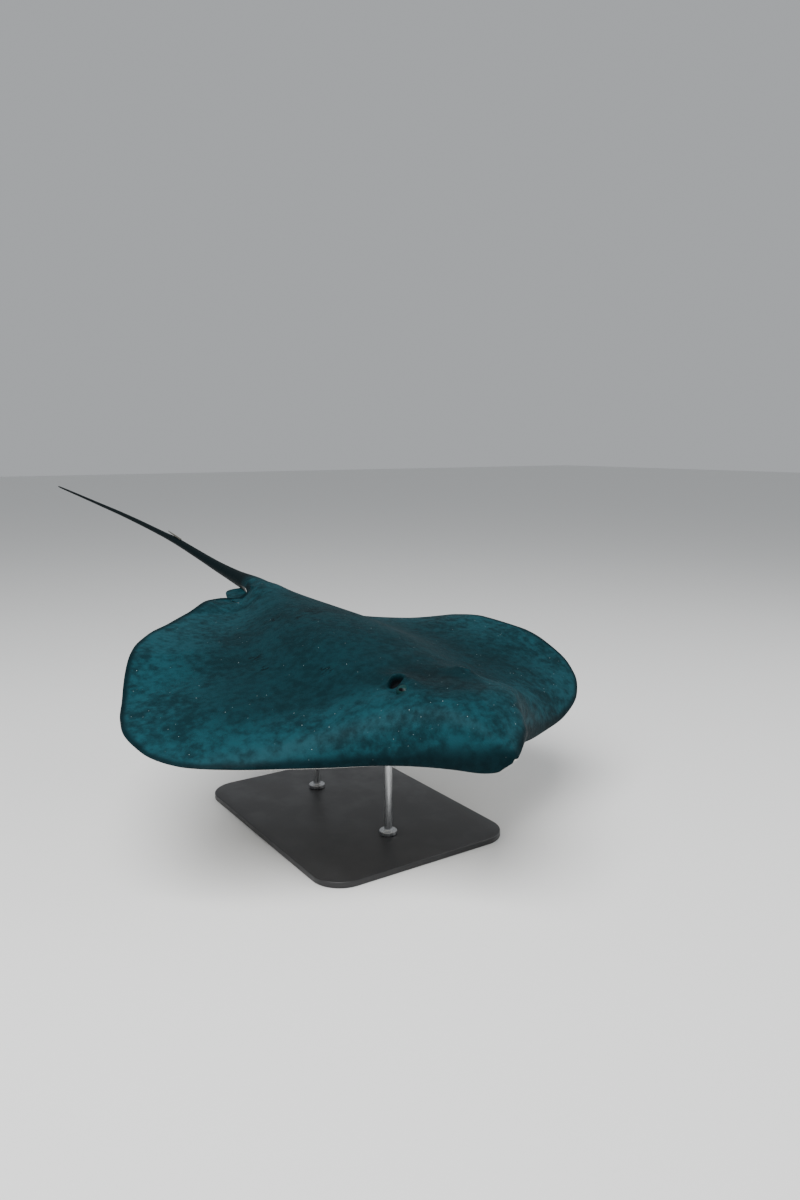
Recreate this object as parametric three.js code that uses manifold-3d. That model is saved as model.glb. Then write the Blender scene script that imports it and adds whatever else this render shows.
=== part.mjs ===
// A swimming stingray of the whipray kind on a plain display stand, as a museum shows it.
// Millimetres, +Z up. The ray faces -Y, with its left side towards +X, and the origin is the
// centre of the underside of the stand's base.
//
// The flat body is worked out as a sheet. A point of the sheet is named by its distance s behind
// the tip of the snout and its distance x from the midline. Profiles along s give the outline and
// the heights, and the swimming pose then lifts or drops the sheet and the rims of its two wings.
import * as THREE from "three";
import { mergeVertices } from "three/addons/utils/BufferGeometryUtils.js";
import Module from "manifold-3d";

// ---- Driving dimensions ----
const DISC_WIDTH = 1000; // tip to tip of the wings, laid flat
const BODY_LENGTH = 984; // tip of the snout to the root of the tail
const TAIL_LENGTH = 1790;
const BODY_CENTRE_HEIGHT = 330; // of the middle of the body above the ground
const BODY_CENTRE_Y = -34; // of the middle of the body behind the middle of the base
const NOSE_DOWN = 0.142; // pitch of the whole body, in radians
const LEFT_DOWN = 0.031; // roll towards the left side, in radians
const JOINT_GAP = 0.3; // the thin cut between one piece and the next
const RIM_THICKNESS = { snout: 9, wing: 2 }; // of the fins at their edges

// Where the body is parted, as distances behind the snout
const SNOUT_END = 165;
const HEAD_END = 400;
const TRUNK_END = 760;
const WING_END = 925;
const PELVIC_END = 1042;

// Eyes and spiracles
const EYE = { s: 216, x: 76, height: 61, radius: 14.5 };
const MOUND = { s: 238, x: 70, height: 15, length: 42, inner: 32, outer: 15 };
const ORBIT = { s: 215, x: 91, depth: 5, length: 13, width: 9 };
const SPIRACLE = { s: 245, x: 79, height: 73, length: 36, width: 27, depth: 26, lean: 0.6 };

// Underside
const MOUTH = { s: 186, bow: 10, groove: { length: 84, width: 5, depth: 7 } };
const GILL = {
  count: 5, first: 242, pitch: 24, x: 88, step: 6, groove: { length: 26, width: 2.4, depth: 6 },
};

// Sting, on top of the tail
const STING = { at: 0.283, length: 98, width: 8, thickness: 4, rise: 0.045, barbs: 10, barb: 1.2 };

// Stand
const BASE = { length: 560, width: 420, thickness: 12, corner: 60 };
const ROD = { radius: 8, sides: 20, places: { stand_rod_front: 370, stand_rod_rear: 665 } };
const PAD = { radius: 22, height: 10, sink: 12 };

// ---- Small tools ----

// A smooth curve through [place, value] pairs that doesn't overshoot them.
function profile(points) {
  const slope = points.slice(1).map(([x, y], i) => (y - points[i][1]) / (x - points[i][0]));
  const tangent = points.map((_, i) => {
    const before = slope[i - 1] ?? slope[i];
    const after = slope[i] ?? before;
    return before * after <= 0 ? 0 : (2 * before * after) / (before + after);
  });
  return (x) => {
    const last = points.length - 1;
    if (x <= points[0][0]) return points[0][1];
    if (x >= points[last][0]) return points[last][1];
    const i = points.findIndex(([place]) => place > x) - 1;
    const [x0, y0] = points[i];
    const [x1, y1] = points[i + 1];
    const span = x1 - x0;
    const t = (x - x0) / span;
    return (
      y0 * (1 + 2 * t) * (1 - t) ** 2 +
      y1 * t * t * (3 - 2 * t) +
      span * t * (1 - t) * (tangent[i] * (1 - t) - tangent[i + 1] * t)
    );
  };
}

const mix = (a, b, t) => a + (b - a) * t;
const steps = (from, to, count) => Array.from({ length: count + 1 }, (_, i) => mix(from, to, i / count));

// ---- The ray's form, before it is posed ----

// The outline: half the width of a disc that is 1000 wide
const outline = profile([
  [0, 5], [8, 17], [27, 41], [60, 80], [100, 127], [150, 192], [203, 285], [255, 383], [304, 453],
  [360, 490], [415, 500], [470, 490], [531, 468], [580, 449], [630, 427], [689, 395], [730, 362],
  [761, 334], [790, 300], [823, 264], [850, 234], [875, 203], [900, 168], [916, 142], [925, 116],
  [938, 60], [955, 38], [984, 29],
]);
const halfWidth = (s) => (DISC_WIDTH / 1000) * outline(s);
// Half the width of the head and trunk, where the wings join them
const trunkHalfWidth = profile([
  [165, 104], [300, 128], [400, 132], [600, 108], [760, 74], [900, 44], [945, 33], [984, 29],
]);
// Thickness of the midline's flesh above the sheet and below it
const backFlesh = profile([
  [0, 3], [30, 8], [90, 13], [150, 19], [200, 28], [245, 40], [300, 56], [360, 68], [420, 75],
  [480, 77], [580, 74], [700, 65], [820, 57], [910, 54], [984, 52],
]);
const bellyFlesh = profile([
  [0, 3], [30, 8], [90, 13], [160, 21], [240, 32], [340, 40], [440, 43], [580, 41], [700, 33],
  [820, 20], [910, 4], [984, -4],
]);
// Thickness of the edge all round: fleshy at the snout and thin along the wings
const rimThickness = profile([
  [0, RIM_THICKNESS.snout], [140, RIM_THICKNESS.snout], [330, RIM_THICKNESS.wing], [984, RIM_THICKNESS.wing],
]);
// How far the hump of the back reaches to each side
const humpReach = profile([
  [0, 30], [100, 84], [180, 112], [250, 128], [350, 152], [460, 166], [600, 150], [760, 108],
  [900, 58], [984, 34],
]);
// Thickness of a wing's flesh where it joins the trunk
const wingFlesh = profile([
  [0, 3.5], [60, 8], [150, 13], [300, 20], [450, 22], [650, 18], [850, 9], [925, 6], [984, 6],
]);
// What is left of the wing's thickness towards its rear edge
const rearTaper = profile([[830, 1], [895, 0.62], [925, 0.22]]);
// From the flat section of the disc, 0, to the round one of the tail, 1
const roundness = profile([[860, 0], [984, 1]]);
// How far the free rear corner of a wing is swept back behind its inner end
const cornerSweep = profile([[800, 0], [870, 6], [925, 26], [1030, 26]]);
// The middle of the round section above the sheet, along the rump and the tail
const coreHeight = profile([
  [860, 26], [984, 28], [1100, 22], [1250, 18], [1500, 17], [1660, 11], [1950, -3], [2290, -24],
  [2774, -54],
]);

// Rise of the mound that holds the eye and the spiracle, less the hollow beside the eye
function eyeMound(s, x) {
  const along = (s - MOUND.s) / MOUND.length;
  const out = Math.abs(x) - MOUND.x;
  const across = out / (out < 0 ? MOUND.inner : MOUND.outer);
  const beside = ((s - ORBIT.s) / ORBIT.length) ** 2 + ((Math.abs(x) - ORBIT.x) / ORBIT.width) ** 2;
  return MOUND.height * Math.exp(-(along ** 2) - across ** 2) - ORBIT.depth * Math.exp(-beside);
}

// Height of the flesh over the sheet, or depth under it
function flesh(s, x, middle, core, wingShare) {
  const across = Math.min(Math.abs(x) / halfWidth(s), 1);
  const wing = wingFlesh(s) * wingShare;
  const flat =
    rimThickness(s) / 2 +
    wing * (1 - across) ** 0.85 +
    (middle - wing) * Math.exp(-((Math.abs(x) / humpReach(s)) ** 3.2));
  const round = core + (middle - core) * Math.sqrt(Math.max(1 - across ** 2, 0.0009));
  const outside = Math.min(Math.max((Math.abs(x) - trunkHalfWidth(s)) / 30, 0), 1);
  return mix(flat, round, roundness(s)) * mix(1, rearTaper(s), outside);
}
const backHeight = (s, x) => flesh(s, x, backFlesh(s), coreHeight(s), 1) + eyeMound(s, x);
const bellyDepth = (s, x) => flesh(s, x, bellyFlesh(s), -coreHeight(s), 0.7);

// ---- The swimming pose ----

// Height of the sheet along the midline: the head is lifted level
const midLift = profile([
  [0, 20], [15, 29], [36, 43], [70, 58], [120, 65], [170, 56], [245, 29], [330, 9], [420, 0], [984, 0],
]);
// Height of each wing's rim: the waves that pass along the fins
const leftLift = profile([
  [0, 21], [8, 26], [20, 32], [40, 32], [60, 18], [90, -8], [130, -34], [203, -68], [250, -70],
  [304, -50], [360, -26], [415, -5], [531, 29], [620, 31], [689, 18], [749, -7], [840, -32],
  [925, -26], [984, 0],
]);
const rightLift = profile([
  [0, 14], [8, 2], [15, -7], [40, -16], [75, -20], [118, -27], [203, -44], [304, -54], [415, -40],
  [531, -30], [600, -6], [650, 10], [740, 17], [840, 15], [925, 14], [984, 0],
]);
// How sharply the rim turns: the front edge is rolled, and the wings bend in a long curve
const leftBend = profile([
  [0, 2.4], [60, 3.4], [150, 3.2], [220, 1.9], [300, 1.4], [420, 1.6], [984, 1.7],
]);
const rightBend = profile([
  [0, 2.4], [60, 2.6], [120, 2], [200, 1.5], [300, 1.4], [420, 1.6], [984, 1.7],
]);
// The bend starts this far from the midline, and behind the wings there is none
const bendStart = (s) => (s > WING_END ? trunkHalfWidth(s) : 0.3 * Math.min(halfWidth(s), 330));

// The place in the ray's own frame of a point at a height z above the sheet
function place(s, x, z) {
  const side = Math.sign(x) || 1;
  const start = bendStart(s);
  const span = Math.max(halfWidth(s) - start, 1);
  const reach = Math.min(Math.max(Math.abs(x) - start, 0) / span, 1);
  const fall = (side > 0 ? leftLift : rightLift)(s) - midLift(s);
  const power = (side > 0 ? leftBend : rightBend)(s);
  const drawnIn = (0.6 * fall * fall * reach ** 2.4) / Math.max(span, 150);
  const slope = (fall * power * reach ** (power - 1)) / Math.max(span, 110);
  const lean = Math.hypot(1, slope);
  const sweep = cornerSweep(s) * Math.min(Math.max((Math.abs(x) - 40) / 60, 0), 1);
  return new THREE.Vector3(
    x - side * (drawnIn + (z * slope) / lean),
    s + sweep - BODY_LENGTH / 2,
    midLift(s) + fall * reach ** power + z / lean,
  );
}
const onBack = (s, x) => place(s, x, backHeight(s, x));
const onBelly = (s, x) => place(s, x, -bellyDepth(s, x));

// ---- Solids from the sheet ----

// A closed solid between two surfaces over the same rows and columns of points.
function slab(upper, lower) {
  const rows = upper.length;
  const columns = upper[0].length;
  const position = [...upper.flat(), ...lower.flat()].flatMap((p) => [p.x, p.y, p.z]);
  const top = (i, j) => i * columns + j;
  const bottom = (i, j) => rows * columns + i * columns + j;
  const index = [];
  const quad = (a, b, c, d) => index.push(a, b, c, a, c, d);
  for (let i = 0; i < rows - 1; i++) {
    for (let j = 0; j < columns - 1; j++) {
      quad(top(i, j), top(i, j + 1), top(i + 1, j + 1), top(i + 1, j));
      quad(bottom(i, j), bottom(i + 1, j), bottom(i + 1, j + 1), bottom(i, j + 1));
    }
    quad(top(i, 0), top(i + 1, 0), bottom(i + 1, 0), bottom(i, 0));
    const j = columns - 1;
    quad(top(i, j), bottom(i, j), bottom(i + 1, j), top(i + 1, j));
  }
  for (let j = 0; j < columns - 1; j++) {
    const i = rows - 1;
    quad(top(0, j), bottom(0, j), bottom(0, j + 1), top(0, j + 1));
    quad(top(i, j), top(i, j + 1), bottom(i, j + 1), bottom(i, j));
  }
  return new THREE.BufferGeometry()
    .setAttribute("position", new THREE.Float32BufferAttribute(position, 3))
    .setIndex(index);
}

// A slab of the body: rows at distances s, and for each row the places across it.
function bodySlab(distances, acrossAt) {
  const grid = distances.map((s) => acrossAt(s).map((x) => [s, x]));
  return slab(
    grid.map((row) => row.map(([s, x]) => onBack(s, x))),
    grid.map((row) => row.map(([s, x]) => onBelly(s, x))),
  );
}

// Rows that neighbouring pieces share, so that their joints match
const HEAD_ROWS = [
  SNOUT_END, 182, 198, 211, 223, 235, 247, 260, 275, 293, 313, 334, 356, 378, HEAD_END,
];
const TRUNK_ROWS = steps(HEAD_END, TRUNK_END, 12);
const WING_REAR_ROWS = [...steps(TRUNK_END, 860, 5), ...steps(860, WING_END, 5).slice(1)];
const RUMP_ROWS = [...WING_REAR_ROWS, ...steps(WING_END, BODY_LENGTH, 4).slice(1)];

// The same rows, held a little short at both ends
const shortened = (rows) => rows.map((s, i) => {
  if (i === 0) return s + JOINT_GAP / 2;
  return i === rows.length - 1 ? s - JOINT_GAP / 2 : s;
});

const snoutGeometry = () =>
  bodySlab([0, 5, 12, 22, 36, 54, 76, 98, 120, 143, SNOUT_END - JOINT_GAP / 2], (s) =>
    steps(-1, 1, 20).map((t) => halfWidth(s) * Math.sin((t * Math.PI) / 2)),
  );

// A length of the body's middle, between the wings
const middleGeometry = (rows, columns) =>
  bodySlab(shortened(rows), (s) => columns.map((t) => (trunkHalfWidth(s) - JOINT_GAP / 2) * t));

// The head's columns are closest together across the eyes and spiracles
const HALF_HEAD = [0.18, 0.36, 0.52, 0.62, 0.71, 0.81, 0.91, 1];
const HEAD_COLUMNS = [...HALF_HEAD.map((t) => -t).reverse(), 0, ...HALF_HEAD];

// From a wing's inner edge to its rim, with the places across in order of x
function acrossWing(side, inner, outer, columns) {
  const across = columns.map((t) => side * mix(inner, outer, t));
  return side > 0 ? across : across.reverse();
}

function wingGeometry(side) {
  const rows = [...HEAD_ROWS, ...TRUNK_ROWS.slice(1), ...WING_REAR_ROWS.slice(1)];
  const columns = steps(0, 1, 9).map((t) => 1 - (1 - t) ** 1.25);
  return bodySlab(shortened(rows), (s) =>
    acrossWing(side, trunkHalfWidth(s) + JOINT_GAP / 2, halfWidth(s), columns),
  );
}

// A pelvic fin, a small flap behind the wing and beside the rump and the tail's root
const pelvicWidth = profile([[925, 82], [955, 80], [985, 72], [1015, 61], [1034, 47], [1042, 37]]);
const PELVIC_TIP_ROWS = [1008, 1026, 1037, PELVIC_END];
function pelvicGeometry(side) {
  const rows = [WING_END + 5 * JOINT_GAP, ...RUMP_ROWS.filter((s) => s > WING_END), ...PELVIC_TIP_ROWS];
  const grid = rows.map((s) =>
    acrossWing(side, trunkHalfWidth(s) + 2 * JOINT_GAP, pelvicWidth(s), steps(0, 1, 4)).map((x) => [s, x]),
  );
  const half = (s, x) => {
    const along = (PELVIC_END - s) / (PELVIC_END - WING_END);
    const across = 1 - Math.abs(x) / 94;
    return RIM_THICKNESS.wing / 2 + 3.5 * Math.sqrt(along) * across;
  };
  const middle = (s, x) => 11 + 0.06 * (PELVIC_END - s) - 0.08 * Math.abs(x);
  const at = (s, x, z) => new THREE.Vector3(x, place(s, x, 0).y, z);
  return slab(
    grid.map((row) => row.map(([s, x]) => at(s, x, middle(s, x) + half(s, x)))),
    grid.map((row) => row.map(([s, x]) => at(s, x, middle(s, x) - half(s, x)))),
  );
}

// ---- The tail ----

const tailHalfWidth = profile([
  [0, 29], [0.03, 23.5], [0.07, 18.5], [0.12, 15.5], [0.18, 13], [0.27, 11.6], [0.31, 11], [0.36, 8.8],
  [0.5, 7.4], [0.65, 6], [0.8, 4.6], [0.97, 3.2], [1, 1.8],
]);
const tailHalfHeight = profile([
  [0, 24], [0.03, 20.5], [0.07, 17], [0.12, 14], [0.18, 11.8], [0.27, 10], [0.31, 9.6], [0.36, 8],
  [0.5, 6.8], [0.65, 5.6], [0.8, 4.4], [0.97, 3.2], [1, 1.8],
]);

// A point of the tail's middle line, at a share t of its length, and the directions about it
function tailPoint(t) {
  const along = BODY_LENGTH + TAIL_LENGTH * t;
  return new THREE.Vector3(-13 * t - 27 * t * t, along - BODY_LENGTH / 2, coreHeight(along));
}
function tailFrame(t) {
  const centre = tailPoint(t);
  const along = tailPoint(t + 0.002).sub(tailPoint(t - 0.002)).normalize();
  const right = new THREE.Vector3(0, 0, 1).cross(along).normalize();
  return { centre, along, right, up: along.clone().cross(right) };
}

// A closed tube through rings of points.
function tube(rings) {
  const sides = rings[0].length;
  const position = rings.flat().flatMap((p) => [p.x, p.y, p.z]);
  const index = [];
  for (let i = 0; i < rings.length - 1; i++) {
    for (let j = 0; j < sides; j++) {
      const k = (j + 1) % sides;
      const [a, b, c, d] = [i * sides + j, i * sides + k, (i + 1) * sides + k, (i + 1) * sides + j];
      index.push(a, b, c, a, c, d);
    }
  }
  const last = (rings.length - 1) * sides;
  for (let j = 1; j < sides - 1; j++) {
    index.push(0, j + 1, j);
    index.push(last, last + j, last + j + 1);
  }
  return new THREE.BufferGeometry()
    .setAttribute("position", new THREE.Float32BufferAttribute(position, 3))
    .setIndex(index);
}

// The tail from one share of its length to another, both ends cut square
function tailGeometry(from, to, sides) {
  const cut = JOINT_GAP / 2 / TAIL_LENGTH;
  const rings = steps(from + cut, to - cut, 11).map((t) => {
    const { centre, right, up } = tailFrame(t);
    return steps(0, 2 * Math.PI, sides).slice(1).map((angle) =>
      centre
        .clone()
        .addScaledVector(right, tailHalfWidth(t) * Math.cos(angle))
        .addScaledVector(up, tailHalfHeight(t) * Math.sin(angle)),
    );
  });
  return tube(rings);
}

// The sting: a flat spine, toothed along both edges, that lies along the top of the tail
function stingGeometry() {
  const root = tailPoint(STING.at);
  const rows = steps(0, 1, 2 * STING.barbs).map((t, i) => {
    const centre = tailPoint(STING.at + (t * STING.length) / TAIL_LENGTH);
    const lift = tailHalfHeight(STING.at) + JOINT_GAP + STING.rise * t * STING.length;
    const tooth = i > 6 && i % 2 === 0 ? STING.barb : 0;
    const half = (STING.width / 2) * Math.sqrt(1 - 0.97 * t) + tooth * (1 - 0.6 * t);
    const base = new THREE.Vector3(centre.x, centre.y, root.z + lift);
    const deep = STING.thickness * (1 - 0.75 * t);
    return { base, half, deep };
  });
  const shifted = (base, x, z) => base.clone().add(new THREE.Vector3(x, 0, z));
  const upper = rows.map(({ base, half, deep }) =>
    [-1, 0, 1].map((side) => shifted(base, side * half, side ? deep * 0.55 : deep)),
  );
  const lower = rows.map(({ base, half }) => [-1, 0, 1].map((side) => shifted(base, side * half, 0)));
  return slab(upper, lower);
}

// ---- Cutting and joining ----

const wasm = await Module();
wasm.setup();
const { Manifold, Mesh } = wasm;

function toManifold(geometry) {
  const merged = mergeVertices(geometry.clone().deleteAttribute("normal").deleteAttribute("uv"), 1e-4);
  return new Manifold(
    new Mesh({
      numProp: 3,
      vertProperties: new Float32Array(merged.attributes.position.array),
      triVerts: new Uint32Array(merged.index.array),
    }),
  );
}
function toGeometry(manifold) {
  const mesh = manifold.getMesh();
  return new THREE.BufferGeometry()
    .setAttribute("position", new THREE.BufferAttribute(new Float32Array(mesh.vertProperties), 3))
    .setIndex(new THREE.BufferAttribute(new Uint32Array(mesh.triVerts), 1));
}
function cut(geometry, tools) {
  return toGeometry(tools.reduce((solid, tool) => solid.subtract(tool), toManifold(geometry)));
}

// An ellipsoid centred on a point of the ray's frame
function ellipsoid(centre, [a, b, c], turn = [0, 0, 0]) {
  const ball = new THREE.SphereGeometry(1, 12, 8).scale(a, b, c);
  const matrix = new THREE.Matrix4().makeRotationFromEuler(new THREE.Euler(...turn)).setPosition(centre);
  return ball.applyMatrix4(matrix);
}
const eyeball = (side, radius) => ellipsoid(eyeCentre(side), [radius, radius, radius]);

const eyeCentre = (side) => new THREE.Vector3(side * EYE.x, EYE.s - BODY_LENGTH / 2, EYE.height);
const spiracleTool = (side) =>
  toManifold(
    ellipsoid(
      new THREE.Vector3(side * SPIRACLE.x, SPIRACLE.s - BODY_LENGTH / 2, SPIRACLE.height),
      [SPIRACLE.width / 2, SPIRACLE.length / 2, SPIRACLE.depth],
      [0.25, side * SPIRACLE.lean, side * 0.2],
    ),
  );
const socketTool = (side) => toManifold(eyeball(side, EYE.radius + JOINT_GAP));

// A shallow groove in the underside, bowed where it is made of several bits
function grooveTool(s, x, { length, width, depth }, turn, bow = 0, count = 1) {
  const at = (share) => new THREE.Vector2((share * length) / 2, bow * (share * share - 1));
  const middle = onBelly(s, x);
  const bits = steps(-1, 1, count).slice(1).map((end) => {
    const from = at(end - 2 / count);
    const span = at(end).sub(from);
    const bit = new THREE.BoxGeometry(span.length() * 1.05, width, 2 * depth);
    bit.rotateZ(Math.atan2(span.y, span.x)).translate(from.x + span.x / 2, from.y + span.y / 2, 0);
    return toManifold(bit.rotateZ(turn).translate(middle.x, middle.y, middle.z));
  });
  return bits.reduce((all, bit) => all.add(bit));
}

// ---- Assembly ----

const ray = new THREE.Group();
ray.position.set(0, BODY_CENTRE_Y, BODY_CENTRE_HEIGHT);
ray.rotation.set(NOSE_DOWN, LEFT_DOWN, 0);
ray.updateMatrixWorld(true);

function finish(color, roughness, metalness = 0) {
  return new THREE.MeshStandardMaterial({ color, roughness, metalness });
}
function add(name, geometry, material, parent = ray) {
  const mesh = new THREE.Mesh(geometry, material);
  mesh.name = name;
  parent.add(mesh);
  return mesh;
}
const skin = () => finish(0x1a343b, 0.5);
const tailSkin = () => finish(0x141d20, 0.6);

const SIDES = { left: 1, right: -1 };
const gillTools = (side) =>
  steps(0, GILL.count - 1, GILL.count - 1).map((i) =>
    grooveTool(GILL.first + i * GILL.pitch, side * (GILL.x - i * GILL.step), GILL.groove, side * -0.35),
  );
const headTools = [1, -1].flatMap((side) => [socketTool(side), spiracleTool(side), ...gillTools(side)]);
headTools.push(grooveTool(MOUTH.s, 0, MOUTH.groove, 0, MOUTH.bow, 6));

add("snout", snoutGeometry(), skin());
add("head", cut(middleGeometry(HEAD_ROWS, HEAD_COLUMNS), headTools), skin());
add("trunk", middleGeometry(TRUNK_ROWS, steps(-1, 1, 10)), skin());
add("rump", middleGeometry(RUMP_ROWS, steps(-1, 1, 10)), skin());
for (const [name, side] of Object.entries(SIDES)) {
  add(`wing_${name}`, wingGeometry(side), skin());
  add(`pelvic_fin_${name}`, pelvicGeometry(side), skin());
  add(`eye_${name}`, eyeball(side, EYE.radius), finish(0x0b0d0e, 0.08));
}
const TAIL_CUTS = [0, 0.25, 0.5, 0.75, 1];
["tail_root", "tail_fore", "tail_hind", "tail_whip"].forEach((name, i) =>
  add(name, tailGeometry(TAIL_CUTS[i], TAIL_CUTS[i + 1], 10), tailSkin()),
);
add("sting", stingGeometry(), finish(0x8d8468, 0.45));

// The stand: a flat plate and two upright rods, whose pads fit the belly
const stand = new THREE.Group();

function plateGeometry() {
  const [w, l, r] = [BASE.width / 2, BASE.length / 2, BASE.corner];
  const rounded = new THREE.Shape()
    .moveTo(-w + r, -l)
    .lineTo(w - r, -l)
    .absarc(w - r, -l + r, r, -Math.PI / 2, 0)
    .absarc(w - r, l - r, r, 0, Math.PI / 2)
    .absarc(-w + r, l - r, r, Math.PI / 2, Math.PI)
    .absarc(-w + r, -l + r, r, Math.PI, 1.5 * Math.PI);
  return new THREE.ExtrudeGeometry(rounded, { depth: BASE.thickness, bevelEnabled: false, curveSegments: 6 });
}
add("stand_base", plateGeometry(), finish(0x1b1b1c, 0.4), stand);

// An upright rod under the belly, with a flared pad that is cut to the belly's own shape
function rodGeometry(s) {
  const top = onBelly(s, 0).applyMatrix4(ray.matrixWorld);
  const foot = BASE.thickness + JOINT_GAP;
  const neck = top.z - PAD.height;
  const rod = new THREE.CylinderGeometry(ROD.radius, ROD.radius, neck - foot + 1, ROD.sides);
  rod.rotateX(Math.PI / 2).translate(top.x, top.y, (neck + 1 + foot) / 2);
  const padHeight = PAD.height + PAD.sink;
  const pad = new THREE.CylinderGeometry(PAD.radius, ROD.radius, padHeight, ROD.sides);
  pad.rotateX(Math.PI / 2).translate(top.x, top.y, neck + padHeight / 2);
  const body = ray.getObjectByName(s < HEAD_END ? "head" : "trunk").geometry.clone();
  body.applyMatrix4(ray.matrixWorld).translate(0, 0, -JOINT_GAP);
  const pieces = toManifold(rod).add(toManifold(pad)).subtract(toManifold(body)).decompose();
  return toGeometry(pieces.sort((a, b) => a.boundingBox().min[2] - b.boundingBox().min[2])[0]);
}
for (const [name, s] of Object.entries(ROD.places)) {
  add(name, rodGeometry(s), finish(0x9a9c9e, 0.3, 1), stand);
}

const model = new THREE.Group();
model.name = "whipray_model";
model.add(ray, stand);

export default model;
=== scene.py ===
"""A life-size whipray in a gliding pose on its display stand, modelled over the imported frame.

Metres, +Z up. The ray faces -Y, with its left side towards +X. As in the frame, a point of the
flat body is named by its distance s behind the tip of the snout and its distance x from the
midline, and profiles along s give the outline, the heights and the pose.
"""
import math

import bmesh
import bpy
import numpy as np
from bpy.types import NodeSocket, Operator, Panel, PropertyGroup
from mathutils import Euler, Matrix, Vector
from mathutils.bvhtree import BVHTree
from mathutils.kdtree import KDTree


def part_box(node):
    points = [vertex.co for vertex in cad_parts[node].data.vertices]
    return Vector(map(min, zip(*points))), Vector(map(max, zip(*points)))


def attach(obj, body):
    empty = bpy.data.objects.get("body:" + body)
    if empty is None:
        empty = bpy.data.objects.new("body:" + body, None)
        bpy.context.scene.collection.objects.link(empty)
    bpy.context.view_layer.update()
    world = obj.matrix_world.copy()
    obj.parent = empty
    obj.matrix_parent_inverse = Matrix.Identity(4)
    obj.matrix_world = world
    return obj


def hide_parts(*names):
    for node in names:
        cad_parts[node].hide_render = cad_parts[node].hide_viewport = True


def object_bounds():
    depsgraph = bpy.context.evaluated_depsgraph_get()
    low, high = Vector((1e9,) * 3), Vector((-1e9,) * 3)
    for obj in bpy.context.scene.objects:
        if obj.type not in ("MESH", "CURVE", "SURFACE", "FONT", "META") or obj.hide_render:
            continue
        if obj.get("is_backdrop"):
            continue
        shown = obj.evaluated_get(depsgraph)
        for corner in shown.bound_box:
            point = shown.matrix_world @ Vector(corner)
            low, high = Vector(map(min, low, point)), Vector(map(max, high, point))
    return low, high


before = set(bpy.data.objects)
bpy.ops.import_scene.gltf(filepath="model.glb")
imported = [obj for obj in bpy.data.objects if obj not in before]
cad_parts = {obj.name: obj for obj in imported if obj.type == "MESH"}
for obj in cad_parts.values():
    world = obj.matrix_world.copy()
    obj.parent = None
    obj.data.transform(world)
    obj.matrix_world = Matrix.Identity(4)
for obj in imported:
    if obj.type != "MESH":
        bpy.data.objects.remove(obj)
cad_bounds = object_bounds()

bl_info = {
    "name": "Whipray display model",
    "version": (1, 0, 0),
    "blender": (4, 5, 0),
    "location": "3D View > Sidebar > Whipray",
    "description": "Dresses the packed whipray frame with its skin, eyes, sting and stand",
    "category": "Object",
}

MM = 0.001
BODY_LENGTH = 984  # tip of the snout to the root of the tail, and all profiles are in mm
TAIL_LENGTH = 1790
WING_END = 925
PELVIC_END = 1042
BODY_CENTRE = Vector((0, -34, 330)) * MM
NOSE_DOWN = 0.142
LEFT_DOWN = 0.031
FLESH_NODES = (
    "snout", "head", "trunk", "rump", "wing_left", "wing_right", "pelvic_fin_left",
    "pelvic_fin_right", "tail_root", "tail_fore", "tail_hind", "tail_whip",
)
EYE = {"s": 214, "x": 76, "height": 61, "radius": 14.5, "stretch": 1.2}
MOUND = {"s": 238, "x": 70, "height": 15, "length": 42, "inner": 32, "outer": 15}
ORBIT = {"s": 214, "x": 91, "depth": 6.5, "length": 16, "width": 10}
SPIRACLE = {"s": 245, "x": 77, "length": 18.5, "width": 14, "depth": 22, "turn": 0.2}
GILLS = {"count": 5, "s": 242, "x": 88, "apart": 24, "narrowing": 6, "turn": -0.35, "bow": 1.6}
GROOVE_DEPTH = 5.5
STING = {
    "at": 0.283, "width": 3.9, "teeth": 11, "tooth": 1.15, "clear": 0.3, "rise": 0.045, "wall": 1.6,
}
RIM_UNIT = 100  # the skin's from_rim is given in this many mm
FIN_RAYS = 40


# ---- The ray's form ----

def profile(points):
    """A smooth curve through (place, value) pairs that doesn't overshoot them."""
    place, value = (np.array(column, float) for column in zip(*points))
    slope = np.diff(value) / np.diff(place)
    before = np.concatenate([slope[:1], slope])
    after = np.concatenate([slope, slope[-1:]])
    with np.errstate(divide="ignore", invalid="ignore"):
        tangent = np.where(before * after > 0, 2 * before * after / (before + after), 0.0)

    def curve(x):
        x = np.clip(x, place[0], place[-1])
        i = np.clip(np.searchsorted(place, x, side="right") - 1, 0, len(slope) - 1)
        span = place[i + 1] - place[i]
        t = (x - place[i]) / span
        return (
            value[i] * (1 + 2 * t) * (1 - t) ** 2
            + value[i + 1] * t * t * (3 - 2 * t)
            + span * t * (1 - t) * (tangent[i] * (1 - t) - tangent[i + 1] * t)
        )

    return curve


half_width = profile([
    (0, 5), (8, 17), (27, 41), (60, 80), (100, 127), (150, 192), (203, 285), (255, 383), (304, 453),
    (360, 490), (415, 500), (470, 490), (531, 468), (580, 449), (630, 427), (689, 395), (730, 362),
    (761, 334), (790, 300), (823, 264), (850, 234), (875, 203), (900, 168), (916, 142), (925, 116),
    (938, 60), (955, 38), (984, 29),
])
trunk_half_width = profile([
    (165, 104), (300, 128), (400, 132), (600, 108), (760, 74), (900, 44), (945, 33), (984, 29),
])
back_flesh = profile([
    (0, 3), (30, 8), (90, 13), (150, 19), (200, 28), (245, 40), (300, 56), (360, 68), (420, 75),
    (480, 77), (580, 74), (700, 65), (820, 57), (910, 54), (984, 52),
])
belly_flesh = profile([
    (0, 3), (30, 8), (90, 13), (160, 21), (240, 32), (340, 40), (440, 43), (580, 41), (700, 33),
    (820, 20), (910, 4), (984, -4),
])
rim_thickness = profile([(0, 9), (140, 9), (330, 2), (984, 2)])
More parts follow.
